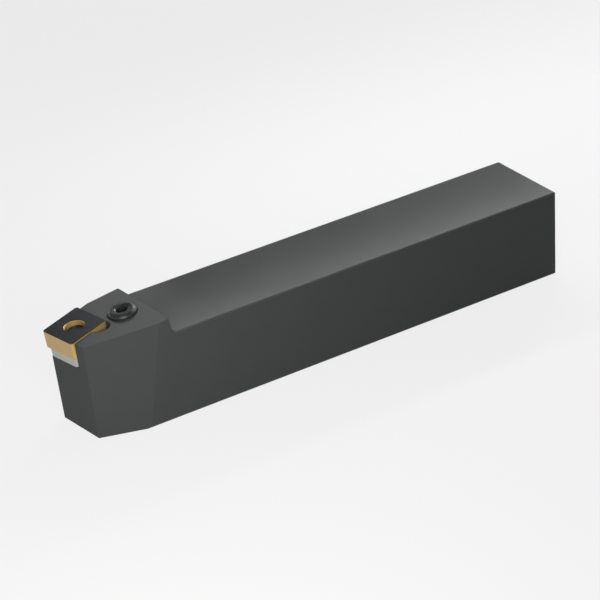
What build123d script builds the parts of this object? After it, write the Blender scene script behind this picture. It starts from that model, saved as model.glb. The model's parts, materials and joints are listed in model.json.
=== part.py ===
from build123d import *
import os
from math import cos, radians, sin, sqrt, tan

# Left-hand external turning tool with a lever-clamped 80 degree rhombic insert.
# Millimetres. X runs from the cutting end to the shank's back end, Y towards the
# main cutting edge and Z up. The origin is on the base, midway along the tool.

# Shank
tool_length = 150.0
shank_width = 25.0
shank_height = 25.0
shank_edge_break = 0.3
back_end_chamfer = 0.5

# Cutting corner and the way the insert is tilted
corner_inset = 3.0              # from the shank's far side to the cutting corner
approach_angle = 75.0           # main cutting edge against the feed direction
rake_angle = 6.0                # the top face rises away from the main cutting edge
inclination_angle = 6.0         # the main cutting edge rises away from the corner

# Insert
insert_circle = 12.7            # inscribed circle
insert_corner_angle = 100.0     # included angle at the working corner
insert_thickness = 4.76
insert_nose_radius = 0.8
insert_hole_diameter = 5.16
insert_hole_break = 0.3
insert_edge_break = 0.1

# Shim under the insert
shim_thickness = 2.6
shim_inset = 0.35
shim_obtuse_radius = 2.0
shim_acute_radius = 1.0
shim_edge_break = 0.2

# Head, whose flanks are milled back from the insert
head_foot = 25.5                # from the cutting corner to the foot of the step
head_blank_rise = 12.0          # forging above the shank, trimmed by the top face
step_lean = 13.5
step_fillet = 1.0
head_top_drop = 0.4             # top face below the insert's top
flank_setback = 1.05            # far flank behind the main cutting edge
end_face_setback = 3.15         # at the base, behind the cutting corner
end_face_angle = 5.0
end_face_relief = 3.1
side_face_start = 17.2          # where the near face leaves the shank's side
side_face_angle = 17.5
side_face_lean = 2.5
corner_relief_diameter = 6.0
corner_relief_overrun = 0.25    # past the corner of the pocket

# Sleeve that holds the shim
sleeve_wall = 0.65
sleeve_lever_gap = 0.25         # round the lever's nose
sleeve_slit = 0.9
sleeve_depth = 2.6              # into the body
sleeve_below_insert = 0.4
sleeve_end_break = 0.25

# Lever
lever_bearing = 35.0            # from the main cutting edge to the lever's plane
lever_heel_depth = 7.3          # heel centre below the seat
lever_heel_radius = 2.3
lever_nose_play = 0.26          # nose against the insert's hole, on the radius
lever_stem_waist = 0.3          # stem thinner than the nose, on the radius
lever_stem_flare = 1.5          # from the nose's middle down to the stem's waist
lever_nose_crown = 0.06         # how much the nose narrows at its two rims
lever_nose_half_height = 0.75
lever_nose_rim = 0.2
lever_top_drop = 1.2            # lever's top below the insert's top
lever_arm_thickness = 3.6
lever_arm_edge_radius = 1.0
lever_toe_depth = 4.4           # toe centre below the seat
lever_toe_radius = 1.4

# Clamp screw
screw_wall = 1.15               # metal between the pocket's wall and the screw's bore
screw_thread_diameter = 8.0
screw_thread_pitch = 1.0
screw_head_step = 0.15          # head smaller than the thread, on the radius
screw_groove_diameter = 4.0
screw_proud = 1.25              # above the head's top face
screw_rim_proud = 0.35
screw_face_diameter = 6.1
screw_bevel_radius = 1.6
screw_length = 20.5
screw_end_chamfer = 0.8
screw_neck_cone = 0.6
socket_width = 3.0              # across flats
socket_depth = 4.0
socket_mouth = 4.3
socket_mouth_depth = 0.45
socket_mouth_angle = 60.0
tap_runout = 1.7                # tapped past the end of the clamped screw

# Clearances
sleeve_body_clearance = 0.02
sleeve_shim_clearance = 0.10
screw_bore_clearance = 0.05
heel_clearance = 0.08
nose_clearance = 0.05
toe_top_clearance = 0.06
toe_bottom_clearance = 0.30
toe_groove_clearance = 0.45

# The insert's own directions: along the main cutting edge, and square to the top face
lead = radians(90 - approach_angle)
edge_run = Vector(cos(lead), sin(lead), tan(radians(inclination_angle))).normalized()
rake_run = Vector(sin(lead), -cos(lead), tan(radians(rake_angle))).normalized()
insert_axis = rake_run.cross(edge_run).normalized()

cutting_corner = Vector(-tool_length / 2, shank_width / 2 - corner_inset, shank_height)
corner_plane = Plane(origin=cutting_corner, x_dir=edge_run, z_dir=insert_axis)


def rhombus(circle):
    """Corners about the centre: working, far acute, rear and near acute."""
    side = circle / sin(radians(insert_corner_angle))
    main_edge = Vector(side, 0)
    end_edge = Vector(side * cos(radians(insert_corner_angle)), -circle)
    return [
        (main_edge + end_edge) * -0.5,
        (main_edge - end_edge) * 0.5,
        (main_edge + end_edge) * 0.5,
        (end_edge - main_edge) * 0.5,
    ]


insert_corners = rhombus(insert_circle)
insert_centre = corner_plane.from_local_coords(insert_corners[0] * -1)
insert_top = Plane(origin=insert_centre, x_dir=edge_run, z_dir=insert_axis)
shim_top = insert_top.offset(-insert_thickness)
seat = shim_top.offset(-shim_thickness)
head_top = insert_top.offset(-head_top_drop)
head_top_height = insert_thickness + shim_thickness - head_top_drop

# The lever's own plane: X towards the screw, Y up along the insert's axis, origin on the seat
thread_radius = screw_thread_diameter / 2
screw_bore_radius = thread_radius + screw_bore_clearance
wall_bearing = insert_corner_angle - 90
screw_offset = insert_circle / 2 + screw_wall + screw_bore_radius
screw_offset = screw_offset / cos(radians(lever_bearing - wall_bearing))
pull = edge_run.rotate(Axis((0, 0, 0), insert_axis), -lever_bearing)
lever_plane = Plane(origin=seat.origin, x_dir=pull, z_dir=pull.cross(insert_axis))
screw_plane = Plane(
    origin=lever_plane.from_local_coords((screw_offset, 0)), x_dir=pull, z_dir=insert_axis
)

# Holder: shank and head in one piece
half_length = tool_length / 2
step_foot = head_foot - half_length
step_top = step_foot - head_blank_rise * tan(radians(step_lean))
blank_height = shank_height + head_blank_rise

far_flank = Plane(
    origin=corner_plane.from_local_coords((0, -flank_setback)),
    x_dir=edge_run,
    z_dir=corner_plane.y_dir,
)
end_face = Plane(
    origin=(end_face_setback - half_length, 0, 0),
    z_dir=Vector(-1, 0, 0)
    .rotate(Axis.Y, -end_face_relief)
    .rotate(Axis.Z, end_face_angle),
)
side_face = Plane(
    origin=(side_face_start - half_length, -shank_width / 2, 0),
    z_dir=Vector(0, -1, 0)
    .rotate(Axis.X, -side_face_lean)
    .rotate(Axis.Z, -side_face_angle),
)

pocket_corner = insert_corners[2]
pocket_runout = insert_circle + shank_width
to_far_side = (insert_corners[1] - insert_corners[2]).normalized() * pocket_runout
to_front = (insert_corners[3] - insert_corners[2]).normalized() * pocket_runout

relief_radius = corner_relief_diameter / 2
relief_centre = pocket_corner + to_front.normalized() * (relief_radius - corner_relief_overrun)

groove_radius = screw_groove_diameter / 2
lever_toe_reach = screw_offset - groove_radius - toe_groove_clearance - lever_toe_radius
channel_radius = lever_heel_radius + heel_clearance
heel_point = lever_plane.from_local_coords((0, -lever_heel_depth))
toe_point = lever_plane.from_local_coords((lever_toe_reach, -lever_toe_depth))
channel_run = (toe_point - heel_point).normalized()
channel_rise = (lever_heel_depth - lever_toe_depth) / lever_toe_reach
channel_end_depth = lever_heel_depth - channel_rise * screw_offset
channel_length = screw_offset * sqrt(1 + channel_rise**2)

screw_top = head_top_height + screw_proud
screw_end = screw_top - screw_length
tapped_depth = tap_runout - screw_end
tapping_drill_diameter = screw_thread_diameter - screw_thread_pitch

lever_nose_radius = insert_hole_diameter / 2 - lever_nose_play
sleeve_bore_radius = lever_nose_radius + sleeve_lever_gap
sleeve_radius = sleeve_bore_radius + sleeve_wall

with BuildPart() as holder:
    # Side view of the forging, with the step up to the head
    with BuildSketch(Plane.XZ):
        with BuildLine():
            Polyline(
                (half_length, 0),
                (half_length, shank_height),
                (step_foot, shank_height),
                (step_top, blank_height),
                (-half_length, blank_height),
                (-half_length, 0),
                close=True,
            )
        make_face()
    extrude(amount=shank_width / 2, both=True)
    step_edge = holder.edges().filter_by(Axis.Y).filter_by_position(Axis.Z, shank_height, shank_height)
    fillet(step_edge.sort_by(Axis.X)[0], radius=step_fillet)
    back_face = holder.faces().sort_by(Axis.X)[-1]
    chamfer(back_face.edges(), length=back_end_chamfer)
    long_edges = holder.edges().filter_by(Axis.X)
    bottom_edges = long_edges.filter_by_position(Axis.Z, 0, 0)
    top_edges = long_edges.filter_by_position(Axis.Z, shank_height, shank_height)
    chamfer(bottom_edges + top_edges, length=shank_edge_break)

    # Milled faces of the head
    split(bisect_by=head_top, keep=Keep.BOTTOM)
    split(bisect_by=far_flank, keep=Keep.BOTTOM)
    split(bisect_by=end_face, keep=Keep.BOTTOM)
    split(bisect_by=side_face, keep=Keep.BOTTOM)

    # Insert pocket with its two walls, and the relief behind their corner
    with BuildSketch(seat):
        with BuildLine():
            Polyline(
                pocket_corner,
                pocket_corner + to_far_side,
                pocket_corner + to_far_side + to_front,
                pocket_corner + to_front,
                close=True,
            )
        make_face()
        with Locations(relief_centre):
            Circle(relief_radius)
    extrude(amount=blank_height, mode=Mode.SUBTRACT)

    # Hole for the sleeve, with the lever's channel from it to the screw's bore
    with BuildSketch(seat):
        Circle(sleeve_radius + sleeve_body_clearance)
    extrude(amount=-sleeve_depth, mode=Mode.SUBTRACT)
    with BuildSketch(seat):
        Circle(channel_radius)
    extrude(amount=-lever_heel_depth, mode=Mode.SUBTRACT)
    with Locations(heel_point):
        Sphere(channel_radius, mode=Mode.SUBTRACT)
    with BuildSketch(Plane(origin=heel_point, z_dir=channel_run)):
        Circle(channel_radius)
    extrude(amount=channel_length, mode=Mode.SUBTRACT)
    with BuildSketch(lever_plane):
        with BuildLine():
            Polyline(
                (0, 0),
                (0, -lever_heel_depth),
                (screw_offset, -channel_end_depth),
                (screw_offset, 0),
                close=True,
            )
        make_face()
    extrude(amount=channel_radius, both=True, mode=Mode.SUBTRACT)

    # Tapped bore for the clamp screw, with its drilling on through the base
    with BuildSketch(screw_plane.offset(blank_height)):
        Circle(screw_bore_radius)
    extrude(amount=-(blank_height + tapped_depth), mode=Mode.SUBTRACT)
    with BuildSketch(screw_plane):
        Circle(tapping_drill_diameter / 2)
    extrude(amount=-blank_height, mode=Mode.SUBTRACT)
holder.part.label = "holder"

# Insert: a flat rhombus with rounded corners, edge hone and a straight hole
with BuildPart() as insert:
    with BuildSketch(shim_top) as insert_outline:
        with BuildLine():
            Polyline(*insert_corners, close=True)
        make_face()
        fillet(insert_outline.vertices(), radius=insert_nose_radius)
    extrude(amount=insert_thickness)
    insert_faces = insert.faces().filter_by(insert_top)
    chamfer(insert_faces.edges(), length=insert_edge_break)
    with BuildSketch(shim_top):
        Circle(insert_hole_diameter / 2)
    extrude(amount=insert_thickness, mode=Mode.SUBTRACT)
    hole_wall = insert.faces().filter_by(GeomType.CYLINDER).sort_by(SortBy.AREA)[-1]
    chamfer(hole_wall.edges().filter_by(GeomType.CIRCLE), length=insert_hole_break)
insert.part.label = "insert"

# Shim: the same rhombus a little smaller, with rounder obtuse corners
with BuildPart() as shim:
    with BuildSketch(seat) as shim_outline:
        with BuildLine():
            Polyline(*rhombus(insert_circle - 2 * shim_inset), close=True)
        make_face()
        shim_corners = shim_outline.vertices().sort_by_distance((0, 0))
        fillet(shim_corners[:2], radius=shim_obtuse_radius)
        fillet(shim_outline.vertices().sort_by_distance((0, 0))[-2:], radius=shim_acute_radius)
        Circle(sleeve_radius + sleeve_shim_clearance, mode=Mode.SUBTRACT)
    extrude(amount=shim_thickness)
    chamfer(shim.faces().filter_by(seat).edges(), length=shim_edge_break)
shim.part.label = "shim"

# Sleeve: a tube with a slit along it, from the body up into the shim
sleeve_base = seat.offset(-sleeve_depth)
sleeve_length = sleeve_depth + shim_thickness - sleeve_below_insert
with BuildPart() as shim_sleeve:
    with BuildSketch(sleeve_base):
        Circle(sleeve_radius)
        Circle(sleeve_bore_radius, mode=Mode.SUBTRACT)
    extrude(amount=sleeve_length)
    outer_wall = shim_sleeve.faces().filter_by(GeomType.CYLINDER).sort_by(SortBy.AREA)[-1]
    chamfer(outer_wall.edges().filter_by(GeomType.CIRCLE), length=sleeve_end_break)
    with BuildSketch(Plane(origin=sleeve_base.origin, x_dir=pull, z_dir=insert_axis)):
        with Locations((-sleeve_radius, 0)):
            Rectangle(2 * sleeve_radius, sleeve_slit)
    extrude(amount=sleeve_length, mode=Mode.SUBTRACT)
shim_sleeve.part.label = "shim_sleeve"

# Lever: ball heel, round stem with a crowned nose, and a flattened arm to the toe
nose_height = insert_thickness / 2 + shim_thickness
nose_reach = lever_nose_play - nose_clearance
nose_rise = nose_height + lever_heel_depth
stem_run = (lever_plane.from_local_coords((nose_reach, nose_height)) - heel_point).normalized()
stem_plane = Plane(origin=heel_point, x_dir=stem_run.cross(lever_plane.z_dir), z_dir=lever_plane.z_dir)
stem_top = head_top_height + head_top_drop - lever_top_drop + lever_heel_depth
rim_radius = lever_nose_radius - lever_nose_crown
lever_stem_radius = lever_nose_radius - lever_stem_waist
with BuildPart() as lever:
    # Arm from the heel to the toe, with its long edges rounded
    with BuildSketch(lever_plane):
        with Locations((0, -lever_heel_depth)):
            Circle(lever_arm_thickness / 2)
        with Locations((lever_toe_reach, -lever_toe_depth)):
            Circle(lever_toe_radius)
        make_hull()
    extrude(amount=lever_arm_thickness / 2, both=True)
    fillet(lever.faces().filter_by(lever_plane).edges(), radius=lever_arm_edge_radius)
    with Locations(heel_point):
        Sphere(lever_heel_radius)
    # Stem and nose, turned about the stem's own axis
    with BuildSketch(stem_plane):
        with BuildLine():
            Polyline(
                (0, 0),
                (lever_stem_radius, 0),
                (lever_stem_radius, nose_rise - lever_stem_flare),
                (rim_radius, nose_rise - lever_nose_half_height),
            )
            ThreePointArc(
                (rim_radius, nose_rise - lever_nose_half_height),
                (lever_nose_radius, nose_rise),
                (rim_radius, nose_rise + lever_nose_half_height),
            )
            Polyline(
                (rim_radius, nose_rise + lever_nose_half_height),
                (rim_radius - lever_nose_rim, stem_top),
                (0, stem_top),
                (0, 0),
            )
        make_face()
    revolve(axis=Axis(heel_point, stem_run))
lever.part.label = "lever"

# Clamp screw: rounded bevel on the head, groove for the lever's toe, threaded end and hex socket
head_radius = thread_radius - screw_head_step
groove_top = toe_top_clearance + lever_toe_radius - lever_toe_depth
groove_bottom = -lever_toe_depth - lever_toe_radius - toe_bottom_clearance
screw_section = Plane(origin=screw_plane.origin, x_dir=pull, z_dir=lever_plane.z_dir)
with BuildPart() as clamp_screw:
    with BuildSketch(screw_section):
        with BuildLine():
            Polyline(
                (0, screw_end),
                (thread_radius - screw_end_chamfer, screw_end),
                (thread_radius, screw_end + screw_end_chamfer),
                (thread_radius, groove_bottom - screw_neck_cone),
                (thread_radius - screw_neck_cone, groove_bottom),
                (groove_radius, groove_bottom),
                (groove_radius, groove_top),
                (head_radius, groove_top),
                (head_radius, head_top_height + screw_rim_proud),
            )
            RadiusArc(
                (head_radius, head_top_height + screw_rim_proud),
                (screw_face_diameter / 2, screw_top),
                -screw_bevel_radius,
            )
            Polyline(
                (screw_face_diameter / 2, screw_top),
                (0, screw_top),
                (0, screw_end),
            )
        make_face()
    revolve(axis=Axis(screw_plane.origin, insert_axis))
    screw_face = screw_plane.offset(screw_top)
    with BuildSketch(screw_face):
        RegularPolygon(socket_width / 2, 6, major_radius=False)
    extrude(amount=-socket_depth, mode=Mode.SUBTRACT)
    with BuildSketch(screw_face):
        Circle(socket_mouth / 2)
    extrude(amount=-socket_mouth_depth, taper=socket_mouth_angle, mode=Mode.SUBTRACT)
clamp_screw.part.label = "clamp_screw"

os.makedirs("parts", exist_ok=True)
for piece in (holder, insert, shim, shim_sleeve, lever, clamp_screw):
    export_step(piece.part, f"parts/{piece.part.label}.step")
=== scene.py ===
import json
import math

import bpy
from bpy.props import FloatProperty, FloatVectorProperty, PointerProperty
from mathutils import Matrix, Vector


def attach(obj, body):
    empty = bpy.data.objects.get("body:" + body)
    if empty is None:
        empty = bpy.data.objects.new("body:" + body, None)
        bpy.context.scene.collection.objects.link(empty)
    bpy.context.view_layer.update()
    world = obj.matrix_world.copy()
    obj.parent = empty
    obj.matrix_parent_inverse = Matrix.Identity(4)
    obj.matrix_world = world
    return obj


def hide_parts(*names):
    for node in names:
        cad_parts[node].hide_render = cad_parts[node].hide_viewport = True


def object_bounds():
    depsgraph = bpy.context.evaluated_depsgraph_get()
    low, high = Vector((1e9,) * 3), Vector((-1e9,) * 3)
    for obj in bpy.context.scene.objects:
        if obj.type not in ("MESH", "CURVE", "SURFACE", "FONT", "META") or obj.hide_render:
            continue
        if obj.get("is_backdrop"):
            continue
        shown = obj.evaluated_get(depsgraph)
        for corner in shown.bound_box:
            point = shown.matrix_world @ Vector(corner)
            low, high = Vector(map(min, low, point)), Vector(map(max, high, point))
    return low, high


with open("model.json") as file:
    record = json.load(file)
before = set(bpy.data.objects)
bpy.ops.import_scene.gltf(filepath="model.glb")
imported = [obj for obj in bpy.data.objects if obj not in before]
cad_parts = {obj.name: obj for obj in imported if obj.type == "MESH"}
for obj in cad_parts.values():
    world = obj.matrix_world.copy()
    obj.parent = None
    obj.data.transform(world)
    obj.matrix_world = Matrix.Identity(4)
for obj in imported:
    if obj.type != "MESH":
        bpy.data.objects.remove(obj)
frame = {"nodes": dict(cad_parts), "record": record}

bl_info = {
    "name": "Turning Tool Holder",
    "version": (1, 0, 0),
    "blender": (4, 5, 0),
    "location": "3D View > Sidebar > Turning Tool",
    "description": "Dresses a lever-clamped turning tool with its finishes, clamp screw and studio",
    "category": "Object",
}

CAD_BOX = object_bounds()
MM = 0.001
MOUNTS = {mount["name"]: mount for mount in frame["record"]["mounts"]}
CUTTING_CORNER = Vector(MOUNTS["cutting_corner"]["pos_m"])
KEY_SOCKET = Vector(MOUNTS["key_socket"]["pos_m"])
INSERT_AXIS = Vector(MOUNTS["key_socket"]["axis"]).normalized()
JOINTS = {joint["name"]: joint for joint in frame["record"]["behaviour"]["joints"]}
LEVER_PULL = INSERT_AXIS.cross(Vector(JOINTS["lever_rock"]["axis"])).normalized()
SHANK_TOP = MOUNTS["shank_top"]["pos_m"][2]
SHANK_HALF_WIDTH = -MOUNTS["shank_side"]["pos_m"][1]


# Sizes and colours

def colour(name, description, default):
    return FloatVectorProperty(
        name=name, description=description, default=default,
        size=3, min=0.0, max=1.0, subtype="COLOR",
    )


def share(name, description, default):
    return FloatProperty(
        name=name, description=description, default=default, min=0.0, max=1.0, subtype="FACTOR"
    )


def distance(name, description, default):
    return FloatProperty(
        name=name, description=description, default=default, unit="LENGTH", subtype="DISTANCE"
    )


def angle(name, description, default):
    return FloatProperty(
        name=name, description=description, default=math.radians(default), subtype="ANGLE"
    )


class HolderFinish(bpy.types.PropertyGroup):
    steel: colour("Steel", "Blackened steel of the shank and head", (0.060, 0.0635, 0.062))
    worn: colour("Worn edge", "Steel showing along the broken edges", (0.13, 0.135, 0.135))
    mottle: share("Mottle", "How much the blackening varies in tone", 0.06)
    roughness: share("Roughness", "Roughness of the ground faces", 0.23)
    shine: share("Shine", "Specular level of the dry, blackened surface", 0.05)
    head_length: distance("Head length", "From the cutting end to the step's foot", 25.5 * MM)
    wear_width: distance("Wear width", "How far the worn steel reaches in from an edge", 0.45 * MM)
    wear_core: distance("Wear core", "Where the worn steel is at its brightest", 0.32 * MM)
    wear_metal: share("Wear metal", "How metallic the worn steel is", 0.5)
    grind_width: distance("Grinding line", "Width of one grinding line", 0.22 * MM)
    grind_depth: distance("Grinding depth", "Depth of the grinding lines", 0.004 * MM)


class InsertFinish(bpy.types.PropertyGroup):
    flank: colour("Flank", "Gold-coloured coating of the flanks and the hole", (0.52, 0.345, 0.135))
    face: colour("Face", "Dark coating of the top and bottom faces", (0.029, 0.030, 0.034))
    face_depth: distance("Face depth", "How far the dark coating runs down the edge", 0.06 * MM)
    thickness: distance("Thickness", "From the top face down to the dark bottom", 4.74 * MM)
    grain: distance("Grain", "Size of the coating's grain", 0.12 * MM)
    roughness: share("Roughness", "Roughness of both coatings", 0.30)
    shine: share("Shine", "Specular level of both coatings", 0.03)
    metallic: share("Metallic", "How metallic the gold-coloured coating is", 0.45)
    gloss: share("Gloss", "Clear gloss over the gold-coloured coating", 0.4)
    gloss_roughness: share("Gloss roughness", "Roughness of that gloss", 0.12)


class ShimFinish(bpy.types.PropertyGroup):
    metal: colour("Metal", "Bare ground carbide of the shim", (0.42, 0.42, 0.40))
    roughness: share("Roughness", "Roughness of the ground metal", 0.38)
    metallic: share("Metallic", "How metallic the ground surface is", 0.6)


class ClampScrewSizes(bpy.types.PropertyGroup):
    length: distance("Length", "Whole length of the screw", 20.5 * MM)
    thread: distance("Thread", "Outside diameter of the thread", 8.0 * MM)
    pitch: distance("Pitch", "Rise of the thread in one turn", 1.0 * MM)
    thread_depth: distance("Thread depth", "From the crest of the thread to its root", 0.61 * MM)
    thread_top: distance("Thread top", "From the head's face down to the thread", 14.91 * MM)
    head: distance("Head", "Diameter of the head's rim", 7.7 * MM)
    face: distance("Face", "Diameter of the head's flat face", 6.1 * MM)
    bevel: distance("Bevel", "Height of the rounded bevel", 0.9 * MM)
    bevel_radius: distance("Bevel radius", "Roundness of the bevel", 2.4 * MM)
    groove: distance("Groove", "Diameter at the bottom of the lever's groove", 4.0 * MM)
    groove_top: distance("Groove top", "From the head's face down to the groove", 11.15 * MM)
    groove_bottom: distance("Groove bottom", "From the head's face to the lower wall", 14.31 * MM)
    neck: distance("Neck cone", "Cone between the groove's lower wall and the thread", 0.6 * MM)
    end_chamfer: distance("End chamfer", "Chamfer at the screw's lower end", 0.8 * MM)
    edge: distance("Edge", "Rounding of the turned edges", 0.08 * MM)
    socket: distance("Socket", "Width of the hex socket across its flats", 3.0 * MM)
    socket_depth: distance("Socket depth", "Depth of the socket's flats", 4.0 * MM)
    socket_point: distance("Socket point", "Height of the drilled cone under the flats", 0.9 * MM)
    mouth: distance("Mouth", "Diameter of the socket's countersink", 4.3 * MM)
    mouth_depth: distance("Mouth depth", "Depth of the countersink", 0.45 * MM)


class FastenerFinish(bpy.types.PropertyGroup):
    steel: colour("Steel", "Blackened steel of the screw, lever and sleeve", (0.020, 0.021, 0.021))
    roughness: share("Roughness", "Roughness of the turned and blackened surface", 0.32)
    shine: share("Shine", "Specular level of the blackened surface", 0.06)
    turning_pitch: distance("Turning pitch", "Spacing of the turning marks", 0.12 * MM)
    bevel_oil: share("Oil on the bevel", "Oily sheen on the screw head's bevel", 0.8)
    mouth_oil: share("Oil in the mouth", "Oily sheen in the socket's countersink", 0.5)
    oil_roughness: share("Oil roughness", "Roughness of the oily sheen", 0.40)


class Studio(bpy.types.PropertyGroup):
    azimuth: angle("Azimuth", "Camera's bearing from the front", -33.770)
    elevation: angle("Elevation", "Camera's height above the table", 28.179)
    roll: angle("Roll", "Turn about the line of sight", -2.747)
    reach: distance("Reach", "From the camera to the point it looks at", 874.5 * MM)
    aim: FloatVectorProperty(
        name="Aim", description="Point the camera looks at", default=(0.01484, 0.02544, -0.00354),
        subtype="TRANSLATION",
    )
    lens: FloatProperty(
        name="Lens", description="Focal length in millimetres", default=190.12, min=1.0,
        subtype="DISTANCE_CAMERA",
    )
    floor: colour("Floor", "Pale floor", (0.5, 0.5, 0.5))
    floor_size: distance("Floor size", "Side of the square floor", 6.0)
    floor_roughness: share("Floor roughness", "Roughness of the floor", 0.8)
    floor_lift: share("Floor lift", "How far the floor is lifted to white", 0.8)
    ambient: share("Ambient", "Strength of the even light from all round", 0.15)
    overhead: share("Overhead", "Brightness of the mirrored sky overhead", 0.2)
    haze_low: share("Haze foot", "Height at which the mirrored horizon starts to darken", 0.02)
    haze_high: share("Haze top", "Height at which it is as dark as overhead", 0.35)


# Shader nodes

class Number:
    """A shader value that takes ordinary arithmetic."""

    def __init__(self, nodes, socket):
        self.nodes = nodes
        self.socket = socket

    def __add__(self, other):
        return self.nodes.maths("ADD", self, other)

    def __sub__(self, other):
        return self.nodes.maths("SUBTRACT", self, other)

    def __rsub__(self, other):
        return self.nodes.maths("SUBTRACT", other, self)

    def __mul__(self, other):
        return self.nodes.maths("MULTIPLY", self, other)

    def __abs__(self):
        return self.nodes.maths("ABSOLUTE", self)

    __radd__ = __add__
    __rmul__ = __mul__


class Nodes:
    """A node tree under construction."""

    def __init__(self, tree):
        self.tree = tree

    def node(self, kind, settings=None, **sockets):
        made = self.tree.nodes.new(kind)
        for name, value in (settings or {}).items():
            setattr(made, name, value)
        by_name = {socket.name.replace(" ", "_"): socket for socket in reversed(made.inputs)}
        by_name.update({socket.identifier: socket for socket in made.inputs})
        for name, value in sockets.items():
            self.feed(by_name[name], value)
        return made

    def feed(self, socket, value):
        value = getattr(value, "socket", value)
        if isinstance(value, bpy.types.NodeSocket):
            self.tree.links.new(value, socket)
        else:
            socket.default_value = value

    def maths(self, operation, *values):
        made = self.node("ShaderNodeMath", {"operation": operation})
        for socket, value in zip(made.inputs, values):
            self.feed(socket, value)
        return Number(self, made.outputs["Value"])

    def step(self, value, low, high):
        """0 below low, 1 above high and a smooth rise between."""
        made = self.node(
            "ShaderNodeMapRange", {"interpolation_type": "SMOOTHSTEP"},
            Value=value, From_Min=low, From_Max=high,
        )
        return Number(self, made.outputs["Result"])

    def mix(self, factor, first, second):
        made = self.node(
            "ShaderNodeMix", {"data_type": "RGBA"},
            Factor_Float=factor, A_Color=first, B_Color=second,
        )
        return next(socket for socket in made.outputs if socket.identifier == "Result_Color")


class Surface(Nodes):
    """A material with one Principled shader, in object coordinates."""

    def __init__(self, name):
        self.material = bpy.data.materials.new(name)
        self.material.use_nodes = True
        super().__init__(self.material.node_tree)
        self.shader = self.tree.nodes["Principled BSDF"]
        self.place = self.node("ShaderNodeTexCoord").outputs["Object"]

    def set(self, **sockets):
        """Values or links of the shader's sockets, with _ for a space."""
        for name, value in sockets.items():
            self.feed(self.shader.inputs[name.replace("_", " ")], value)

    def axes(self):
        made = self.node("ShaderNodeSeparateXYZ", Vector=self.place)
        return [Number(self, socket) for socket in made.outputs]

    def vector_maths(self, operation, output, first, second=(0, 0, 0)):
        made = self.node(
            "ShaderNodeVectorMath", {"operation": operation}, Vector=first, Vector_001=second
        )
        return made.outputs[output]

    def along(self, direction, origin):
        """Distance from a point, measured along a direction."""
        from_origin = self.vector_maths("SUBTRACT", "Vector", self.place, origin)
        return Number(self, self.vector_maths("DOT_PRODUCT", "Value", from_origin, direction))

    def about(self, direction, origin):
        """Distance from an axis through a point."""
        from_origin = self.vector_maths("SUBTRACT", "Vector", self.place, origin)
        sideways = self.vector_maths("CROSS_PRODUCT", "Vector", from_origin, direction)
        return Number(self, self.vector_maths("LENGTH", "Value", sideways))

    def noise(self, sizes, detail=2.0):
        """Noise whose grain measures sizes, along the three axes."""
        scales = [1.0 / size for size in sizes]
        scaled = self.node("ShaderNodeMapping", Vector=self.place, Scale=scales)
        made = self.node(
            "ShaderNodeTexNoise", Vector=scaled.outputs["Vector"], Scale=1.0, Detail=detail
        )
        return Number(self, made.outputs["Fac"])

    def bump(self, height, depth):
        """Relief that is depth high where height is 1."""
        made = self.node("ShaderNodeBump", Height=height, Distance=depth)
        self.set(Normal=made.outputs["Normal"])


def rgba(values, gain=1.0):
    """A colour with its alpha, made lighter or darker by gain."""
    return [gain * value for value in values] + [1.0]


def holder_surface(sizes):
    """Ground and blackened steel with grinding lines and thinly worn long edges."""
    surface = Surface("blackened_holder_steel")
    x, y, z = surface.axes()
    mottle = surface.noise([9 * MM, 6 * MM, 6 * MM], detail=4.0)
    speckle = surface.noise([0.5 * MM] * 3)
    grind = surface.noise([30 * MM, sizes.grind_width, sizes.grind_width], detail=3.0)
    tone = surface.mix(
        mottle * 0.7 + speckle * 0.3,
        rgba(sizes.steel, 1 - sizes.mottle),
        rgba(sizes.steel, 1 + sizes.mottle),
    )
    middle = SHANK_TOP / 2
    corner = SHANK_HALF_WIDTH + middle
    outward = abs(y) + abs(z - middle)
    edge = surface.step(outward, corner - sizes.wear_width, corner - sizes.wear_core)
    step_foot = CUTTING_CORNER.x + sizes.head_length
    behind_head = surface.step(x, step_foot, step_foot + MM)
    worn = edge * behind_head * mottle
    surface.set(
        Base_Color=surface.mix(worn, tone, rgba(sizes.worn)),
        Roughness=sizes.roughness + (grind - 0.5) * 0.12 + (mottle - 0.5) * 0.1,
        Metallic=worn * sizes.wear_metal,
        Specular_IOR_Level=sizes.shine,
    )
    surface.bump(grind * 0.8 + speckle * 0.2, sizes.grind_depth)
    return surface.material


def insert_surface(sizes):
    """Gold-coloured flanks and hole, with a near-black top and bottom."""
    surface = Surface("coated_carbide")
    height = surface.along(INSERT_AXIS, CUTTING_CORNER)
    grain = surface.noise([sizes.grain] * 3, detail=3.0)
    cloud = surface.noise([3 * MM] * 3)
    top = surface.step(height, -1.6 * sizes.face_depth, -sizes.face_depth)
    bottom = 1 - surface.step(height, -sizes.thickness, -sizes.thickness + 0.04 * MM)
    dark = surface.maths("MAXIMUM", top, bottom)
    flank = surface.mix(cloud, rgba(sizes.flank, 0.94), rgba(sizes.flank, 1.06))
    face = surface.mix(cloud, rgba(sizes.face, 0.85), rgba(sizes.face, 1.15))
    surface.set(
        Base_Color=surface.mix(dark, flank, face),
        Roughness=sizes.roughness + (grain - 0.5) * 0.15,
        Metallic=(1 - dark) * sizes.metallic,
        Specular_IOR_Level=sizes.shine,
        Coat_Weight=(1 - dark) * sizes.gloss,
        Coat_Roughness=sizes.gloss_roughness,
    )
    surface.bump(grain, 0.002 * MM)
    return surface.material


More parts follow.
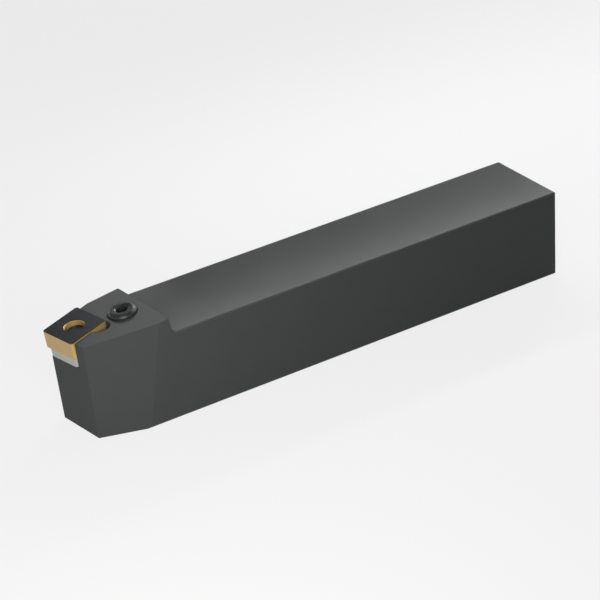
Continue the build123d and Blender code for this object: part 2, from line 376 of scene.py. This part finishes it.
def shim_surface(sizes):
    """Bare ground metal with a faint cross lay."""
    surface = Surface("bare_shim_metal")
    lay = surface.noise([4 * MM, 0.1 * MM, 0.6 * MM], detail=3.0)
    cloud = surface.noise([2 * MM] * 3)
    surface.set(
        Base_Color=surface.mix(cloud, rgba(sizes.metal, 0.9), rgba(sizes.metal, 1.1)),
        Roughness=sizes.roughness + (lay - 0.5) * 0.2,
        Metallic=sizes.metallic,
    )
    surface.bump(lay, 0.003 * MM)
    return surface.material


def fastener_surface(sizes, screw):
    """Turned and blackened steel for the small pieces, with oil left on the screw's head."""
    name = "blackened_fastener_steel"
    if name in bpy.data.materials:
        return bpy.data.materials[name]
    surface = Surface(name)
    cloud = surface.noise([1.2 * MM] * 3, detail=3.0)
    height = surface.along(INSERT_AXIS, KEY_SOCKET)
    ring = surface.maths("SINE", height * (math.tau / sizes.turning_pitch))
    radius = surface.about(INSERT_AXIS, KEY_SOCKET)
    blend = 0.1 * MM
    on_bevel = surface.step(radius, screw.face / 2 - blend, screw.face / 2 + blend / 2)
    on_bevel = on_bevel * surface.step(height, -screw.bevel - blend / 2, -screw.bevel + blend / 2)
    in_mouth = 1 - surface.step(radius, screw.mouth / 2 - blend, screw.mouth / 2)
    in_mouth = in_mouth * surface.step(height, -screw.mouth_depth - blend, -screw.mouth_depth)
    surface.set(
        Base_Color=surface.mix(cloud, rgba(sizes.steel, 0.8), rgba(sizes.steel, 1.25)),
        Roughness=sizes.roughness + (cloud - 0.5) * 0.15,
        Specular_IOR_Level=sizes.shine,
        Coat_Weight=on_bevel * sizes.bevel_oil + in_mouth * sizes.mouth_oil,
        Coat_Roughness=sizes.oil_roughness,
    )
    surface.bump(ring * 0.25 + cloud, 0.003 * MM)
    return surface.material


# Modelling

CUTTER_RISE = 1 * MM
WELD = 0.002 * MM
BEVELLED_FROM = math.radians(40)
SMOOTH_UP_TO = math.radians(32)


def deselect():
    bpy.ops.object.select_all(action="DESELECT")


def pick(piece):
    """Make a piece the only selected and active one."""
    deselect()
    piece.select_set(True)
    bpy.context.view_layer.objects.active = piece


def select_where(piece, test):
    """In edit mode, select only the vertices whose places pass a test."""
    bpy.ops.mesh.select_all(action="DESELECT")
    bpy.ops.object.mode_set(mode="OBJECT")
    for vertex in piece.data.vertices:
        vertex.select = test(vertex.co)
    bpy.ops.object.mode_set(mode="EDIT")


def apply_modifier(piece, kind, **settings):
    """Add a modifier to a piece and apply it at once."""
    pick(piece)
    modifier = piece.modifiers.new(kind.lower(), kind)
    for name, value in settings.items():
        setattr(modifier, name, value)
    bpy.ops.object.modifier_apply(modifier=modifier.name)


def combine(piece, other, operation):
    """Cut, join or keep the common part of two closed pieces, using the second one up."""
    apply_modifier(piece, "BOOLEAN", operation=operation, solver="EXACT", object=other)
    bpy.data.objects.remove(other)


def turned(name, outline, facets=96):
    """A solid turned about the Z axis, from (radius, height) points with the lowest first."""
    radius, height = outline[0]
    deselect()
    bpy.ops.mesh.primitive_circle_add(
        vertices=facets, radius=radius, fill_type="NGON", enter_editmode=True, align="WORLD"
    )
    piece = bpy.context.object
    piece.name = name
    bpy.ops.mesh.select_all(action="SELECT")
    bpy.ops.transform.translate(value=(0, 0, height))
    for next_radius, next_height in outline[1:]:
        bpy.ops.mesh.extrude_region_move(
            TRANSFORM_OT_translate={"value": (0, 0, next_height - height)}
        )
        ratio = next_radius / radius
        bpy.ops.transform.resize(value=(ratio, ratio, 1), center_override=(0, 0, next_height))
        radius, height = next_radius, next_height
    bpy.ops.mesh.select_all(action="SELECT")
    bpy.ops.mesh.normals_make_consistent(inside=False)
    bpy.ops.object.mode_set(mode="OBJECT")
    return piece


def rounded(start, end, radius, steps=8):
    """Points of an arc that bulges to the right of the way from start to end."""
    start, end = Vector(start), Vector(end)
    chord = end - start
    inward = Vector((-chord.y, chord.x)).normalized()
    centre = (start + end) / 2 + inward * math.sqrt(radius**2 - chord.length_squared / 4)
    first, last = start - centre, end - centre
    turn = first.angle_signed(last) / steps
    return [tuple(centre + Matrix.Rotation(-turn * step, 2) @ first) for step in range(steps + 1)]


def seat(piece, origin, x_axis, z_axis):
    """Move a piece modelled at the origin to its place, which its mesh then holds."""
    frame_axes = Matrix((x_axis, z_axis.cross(x_axis), z_axis)).transposed()
    pick(piece)
    piece.matrix_world = Matrix.Translation(origin) @ frame_axes.to_4x4()
    bpy.ops.object.transform_apply(location=True, rotation=True, scale=True)


def hex_socket(sizes):
    """Cutter for the socket: a hexagon with a drilled point."""
    bpy.ops.mesh.primitive_cylinder_add(
        vertices=6, radius=sizes.socket / math.sqrt(3), depth=sizes.socket_depth + CUTTER_RISE,
        location=(0, 0, (CUTTER_RISE - sizes.socket_depth) / 2), rotation=(0, 0, math.radians(30)),
    )
    cutter = bpy.context.object
    bpy.ops.object.transform_apply(location=True, rotation=True, scale=True)
    bpy.ops.object.mode_set(mode="EDIT")
    select_where(cutter, lambda at: at.z < -sizes.socket_depth / 2)
    bpy.ops.mesh.extrude_region_move(TRANSFORM_OT_translate={"value": (0, 0, -sizes.socket_point)})
    bpy.ops.mesh.merge(type="CENTER")
    bpy.ops.object.mode_set(mode="OBJECT")
    return cutter


def countersink(sizes):
    """Cutter for the cone at the socket's mouth, 60 degrees off the screw's axis."""
    spread = math.sqrt(3)
    return turned("countersink", [
        (sizes.mouth / 2 - sizes.mouth_depth * spread, -sizes.mouth_depth),
        (sizes.mouth / 2 + CUTTER_RISE * spread, CUTTER_RISE),
    ])


def thread_ridge(sizes):
    """A helical ridge, trimmed to the screw's chamfered outline."""
    root = sizes.thread / 2 - sizes.thread_depth
    inside = 0.1 * MM
    foot_width, crest_width = 7 / 8 * sizes.pitch, 1 / 8 * sizes.pitch
    turns = math.ceil((sizes.length - sizes.thread_top) / sizes.pitch) + 2
    deselect()
    bpy.ops.mesh.primitive_plane_add(size=1, enter_editmode=True, align="WORLD")
    ridge = bpy.context.object
    bpy.ops.mesh.select_all(action="SELECT")
    bpy.ops.transform.rotate(value=math.pi / 2, orient_axis="X", center_override=(0, 0, 0))
    bpy.ops.transform.resize(
        value=(sizes.thread_depth + inside, 1, foot_width), center_override=(0, 0, 0)
    )
    bpy.ops.transform.translate(value=(root + (sizes.thread_depth - inside) / 2, 0, 0))
    select_where(ridge, lambda at: at.x > root + inside)
    bpy.ops.transform.resize(
        value=(1, 1, crest_width / foot_width), center_override=(root, 0, 0)
    )
    bpy.ops.mesh.select_all(action="SELECT")
    bpy.ops.transform.translate(value=(0, 0, -sizes.length - sizes.pitch))
    bpy.ops.object.mode_set(mode="OBJECT")
    apply_modifier(
        ridge, "SCREW", axis="Z", screw_offset=sizes.pitch, iterations=turns,
        steps=72, render_steps=72, use_merge_vertices=False,
    )
    bpy.ops.object.mode_set(mode="EDIT")
    bpy.ops.mesh.select_all(action="SELECT")
    bpy.ops.mesh.fill_holes(sides=0)
    bpy.ops.mesh.normals_make_consistent(inside=False)
    bpy.ops.object.mode_set(mode="OBJECT")
    blank = turned("thread_blank", [
        (sizes.thread / 2 - sizes.end_chamfer, -sizes.length),
        (sizes.thread / 2, -sizes.length + sizes.end_chamfer),
        (sizes.thread / 2, -sizes.thread_top),
        (sizes.thread / 2 - sizes.neck, -sizes.groove_bottom),
    ])
    combine(ridge, blank, "INTERSECT")
    return ridge


def threaded_clamp_screw(sizes):
    """Round-headed screw with a hex socket, the lever's groove and a cut thread."""
    root = sizes.thread / 2 - sizes.thread_depth
    end_radius = sizes.thread / 2 - sizes.end_chamfer
    head = sizes.head / 2
    screw = turned("threaded_clamp_screw", [
        (end_radius, -sizes.length),
        (root, -sizes.length + 2 * (root - end_radius)),
        (root, -sizes.groove_bottom),
        (sizes.groove / 2, -sizes.groove_bottom),
        (sizes.groove / 2, -sizes.groove_top),
        (head, -sizes.groove_top),
        *rounded((head, -sizes.bevel), (sizes.face / 2, 0), sizes.bevel_radius),
    ])
    apply_modifier(
        screw, "BEVEL", width=sizes.edge, segments=2, limit_method="ANGLE",
        angle_limit=BEVELLED_FROM,
    )
    combine(screw, hex_socket(sizes), "DIFFERENCE")
    combine(screw, countersink(sizes), "DIFFERENCE")
    combine(screw, thread_ridge(sizes), "UNION")
    pick(screw)
    bpy.ops.object.mode_set(mode="EDIT")
    bpy.ops.mesh.select_all(action="SELECT")
    bpy.ops.mesh.remove_doubles(threshold=WELD)
    bpy.ops.object.mode_set(mode="OBJECT")
    bpy.ops.object.shade_smooth_by_angle(angle=SMOOTH_UP_TO)
    return screw


def dress(node, material):
    """Give a solid from the frame one material all over."""
    piece = frame["nodes"][node]
    piece.data.materials.clear()
    piece.data.materials.append(material)


# Operators

class HolderDress(bpy.types.Operator):
    """Finish the shank and head"""

    bl_idname = "turning_tool.dress_holder"
    bl_label = "Dress holder"

    def execute(self, context):
        dress("holder", holder_surface(context.scene.tool_holder))
        return {"FINISHED"}


class InsertDress(bpy.types.Operator):
    """Coat the insert"""

    bl_idname = "turning_tool.dress_insert"
    bl_label = "Dress insert"

    def execute(self, context):
        dress("insert", insert_surface(context.scene.tool_insert))
        return {"FINISHED"}


class ShimDress(bpy.types.Operator):
    """Finish the shim under the insert"""

    bl_idname = "turning_tool.dress_shim"
    bl_label = "Dress shim"

    def execute(self, context):
        dress("shim", shim_surface(context.scene.tool_shim))
        return {"FINISHED"}


class ClampScrewMake(bpy.types.Operator):
    """Model the clamp screw with its thread and socket"""

    bl_idname = "turning_tool.make_clamp_screw"
    bl_label = "Make clamp screw"

    def execute(self, context):
        scene = context.scene
        screw = threaded_clamp_screw(scene.tool_clamp_screw)
        seat(screw, KEY_SOCKET, LEVER_PULL, INSERT_AXIS)
        steel = fastener_surface(scene.tool_fastener, scene.tool_clamp_screw)
        screw.data.materials.append(steel)
        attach(screw, "screw")
        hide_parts("clamp_screw")
        return {"FINISHED"}


class FastenerDress(bpy.types.Operator):
    """Finish the lever and the shim's sleeve"""

    bl_idname = "turning_tool.dress_fasteners"
    bl_label = "Dress fasteners"

    def execute(self, context):
        scene = context.scene
        steel = fastener_surface(scene.tool_fastener, scene.tool_clamp_screw)
        for node in ("lever", "shim_sleeve"):
            dress(node, steel)
        return {"FINISHED"}


# Studio

HEAD = (-0.05, 0.0, 0.02)
LAMPS = [
    # name, place, what it faces, size and watts
    ("key_lamp", (-0.148, -0.163, 0.106), HEAD, (0.10, 0.07), 0.38),
    ("right_lamp", (0.234, -0.014, 0.222), HEAD, (0.10, 0.10), 0.16),
    ("back_strip", (0.140, 0.107, 0.119), (0.140, -0.040, 0.025), (0.24, 0.012), 0.25),
    ("step_strip", (0.100, 0.107, 0.119), (0.100, -0.040, 0.025), (0.12, 0.012), 0.03),
    ("head_panel", (0.016, 0.160, 0.121), (-0.058, -0.001, 0.0275), (0.06, 0.06), 0.029),
]


def seen_directly(nodes):
    """1 for what the camera sees, also in a reflection or through glass."""
    rays = nodes.node("ShaderNodeLightPath").outputs
    seen = nodes.maths("MAXIMUM", rays["Is Camera Ray"], rays["Is Glossy Ray"])
    return nodes.maths("MAXIMUM", seen, rays["Is Transmission Ray"])


def lay_floor(studio):
    """A pale floor under the tool, lifted to white where it is seen."""
    deselect()
    bpy.ops.mesh.primitive_plane_add(size=studio.floor_size, location=(0, 0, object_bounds()[0][2]))
    floor = bpy.context.object
    floor.name = "studio_floor"
    surface = Surface("pale_floor")
    surface.set(Base_Color=rgba(studio.floor), Roughness=studio.floor_roughness)
    white = surface.node("ShaderNodeEmission", Color=rgba((1, 1, 1)), Strength=1.0)
    lifted = surface.node(
        "ShaderNodeMixShader",
        Fac=seen_directly(surface) * studio.floor_lift,
        Shader=surface.shader.outputs["BSDF"],
        Shader_001=white.outputs["Emission"],
    )
    output = surface.tree.nodes["Material Output"]
    surface.feed(output.inputs["Surface"], lifted.outputs["Shader"])
    floor.data.materials.append(surface.material)
    floor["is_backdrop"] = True


def light_world(studio):
    """White to the eye, and a dim even light that mirrors as a pale horizon."""
    world = bpy.data.worlds.new("studio_world")
    bpy.context.scene.world = world
    world.use_nodes = True
    sky = Nodes(world.node_tree)
    rays = sky.node("ShaderNodeLightPath").outputs
    direction = sky.node("ShaderNodeTexCoord").outputs["Generated"]
    height = sky.node("ShaderNodeSeparateXYZ", Vector=direction).outputs["Z"]
    overhead = sky.step(height, studio.haze_low, studio.haze_high)
    mirrored = Number(sky, rays["Is Glossy Ray"]) * (1 - overhead * (1 - studio.overhead))
    white = sky.maths("MAXIMUM", rays["Is Camera Ray"], rays["Is Transmission Ray"])
    seen = sky.maths("MAXIMUM", white, mirrored)
    background = world.node_tree.nodes["Background"]
    background.inputs["Color"].default_value = rgba((1, 1, 1))
    sky.feed(background.inputs["Strength"], sky.maths("MAXIMUM", seen, studio.ambient))


def area_lamp(name, place, target, size, power):
    """A soft square or long lamp at place that faces target."""
    facing = (Vector(place) - Vector(target)).to_track_quat("Z", "Y")
    bpy.ops.object.light_add(type="AREA", location=place, rotation=facing.to_euler())
    lamp = bpy.context.object
    lamp.name = name
    lamp.data.shape = "RECTANGLE"
    lamp.data.size, lamp.data.size_y = size
    lamp.data.energy = power
    lamp.visible_camera = False


def set_camera(studio):
    """The scene's camera, aimed from its bearing and height."""
    bearing = Matrix.Rotation(studio.azimuth, 3, "Z")
    tilt = Matrix.Rotation(math.pi / 2 - studio.elevation, 3, "X")
    turn = bearing @ tilt @ Matrix.Rotation(studio.roll, 3, "Z")
    back = turn.col[2]
    place = Vector(studio.aim) + back * studio.reach
    bpy.ops.object.camera_add(location=place, rotation=turn.to_euler())
    camera = bpy.context.object
    camera.name = "studio_camera"
    camera.data.lens = studio.lens
    bpy.context.scene.camera = camera


class StudioSet(bpy.types.Operator):
    """Lay the floor, hang the lamps and place the camera"""

    bl_idname = "turning_tool.set_studio"
    bl_label = "Set studio"

    def execute(self, context):
        studio = context.scene.tool_studio
        lay_floor(studio)
        light_world(studio)
        for lamp in LAMPS:
            area_lamp(*lamp)
        set_camera(studio)
        context.scene.view_settings.view_transform = "Standard"
        return {"FINISHED"}


class ToolPanel(bpy.types.Panel):
    """Lists the sizes and colours, and the steps that dress the tool"""

    bl_idname = "TURNING_PT_tool"
    bl_label = "Turning Tool"
    bl_space_type = "VIEW_3D"
    bl_region_type = "UI"
    bl_category = "Turning Tool"

    def draw(self, context):
        for name, group in GROUPS.items():
            fields = self.layout.box()
            for field in group.__annotations__:
                fields.prop(getattr(context.scene, name), field)
        for step in STEPS:
            self.layout.operator(step.bl_idname)


GROUPS = {
    "tool_holder": HolderFinish,
    "tool_insert": InsertFinish,
    "tool_shim": ShimFinish,
    "tool_clamp_screw": ClampScrewSizes,
    "tool_fastener": FastenerFinish,
    "tool_studio": Studio,
}
STEPS = [HolderDress, InsertDress, ShimDress, ClampScrewMake, FastenerDress, StudioSet]


def register():
    for made in (*GROUPS.values(), *STEPS, ToolPanel):
        bpy.utils.register_class(made)
    for name, group in GROUPS.items():
        setattr(bpy.types.Scene, name, PointerProperty(type=group))


def unregister():
    for name in GROUPS:
        delattr(bpy.types.Scene, name)
    for made in (ToolPanel, *reversed(STEPS), *reversed(GROUPS.values())):
        bpy.utils.unregister_class(made)


def main():
    """Dress the tool step by step and work out its boxes before and after."""
    register()
    for step in STEPS:
        area, operator = step.bl_idname.split(".")
        getattr(getattr(bpy.ops, area), operator)()
    sizes = {"cad_box": CAD_BOX, "visual_box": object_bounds()}
    sizes = {name: [list(corner) for corner in box] for name, box in sizes.items()}


if __name__ == "__main__":
    main()
